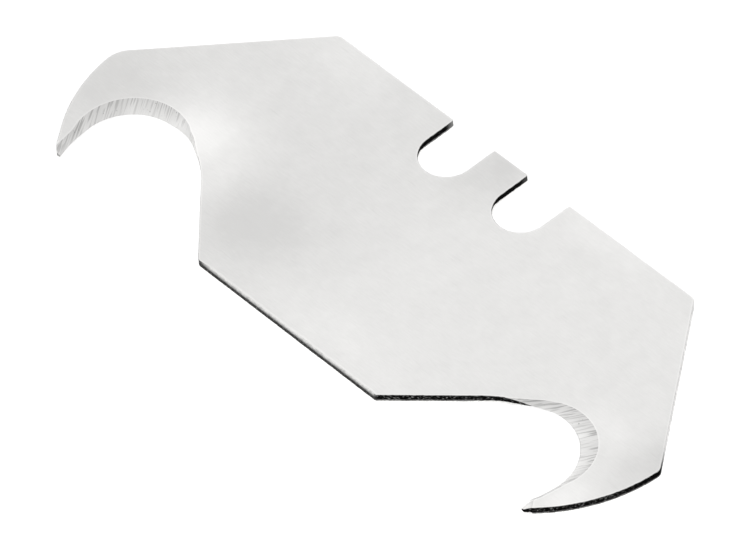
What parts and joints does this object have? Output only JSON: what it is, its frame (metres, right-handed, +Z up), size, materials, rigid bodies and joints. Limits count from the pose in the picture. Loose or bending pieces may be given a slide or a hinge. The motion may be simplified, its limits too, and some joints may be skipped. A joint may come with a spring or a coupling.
{
  "type": "hook blade",
  "caption": "Flat trimming-knife blade with a hooked point at each end, ground inner cutting edges, and open locating notches in its spine.",
  "frame": {"origin": "under the middle of the blade, at the middle of its bounding box's lower face", "axes": "+X along the blade's length, +Y towards the notched spine, +Z up through its thickness"},
  "size_m": [0.05, 0.019, 0.0006],
  "materials": {
    "blade_steel": "fine ground satin faces, coarser cross-ground bevels, dull dark blanked walls"
  },
  "bodies": {
    "root": {"hook_blade": "blade_steel"}
  },
  "joints": []
}
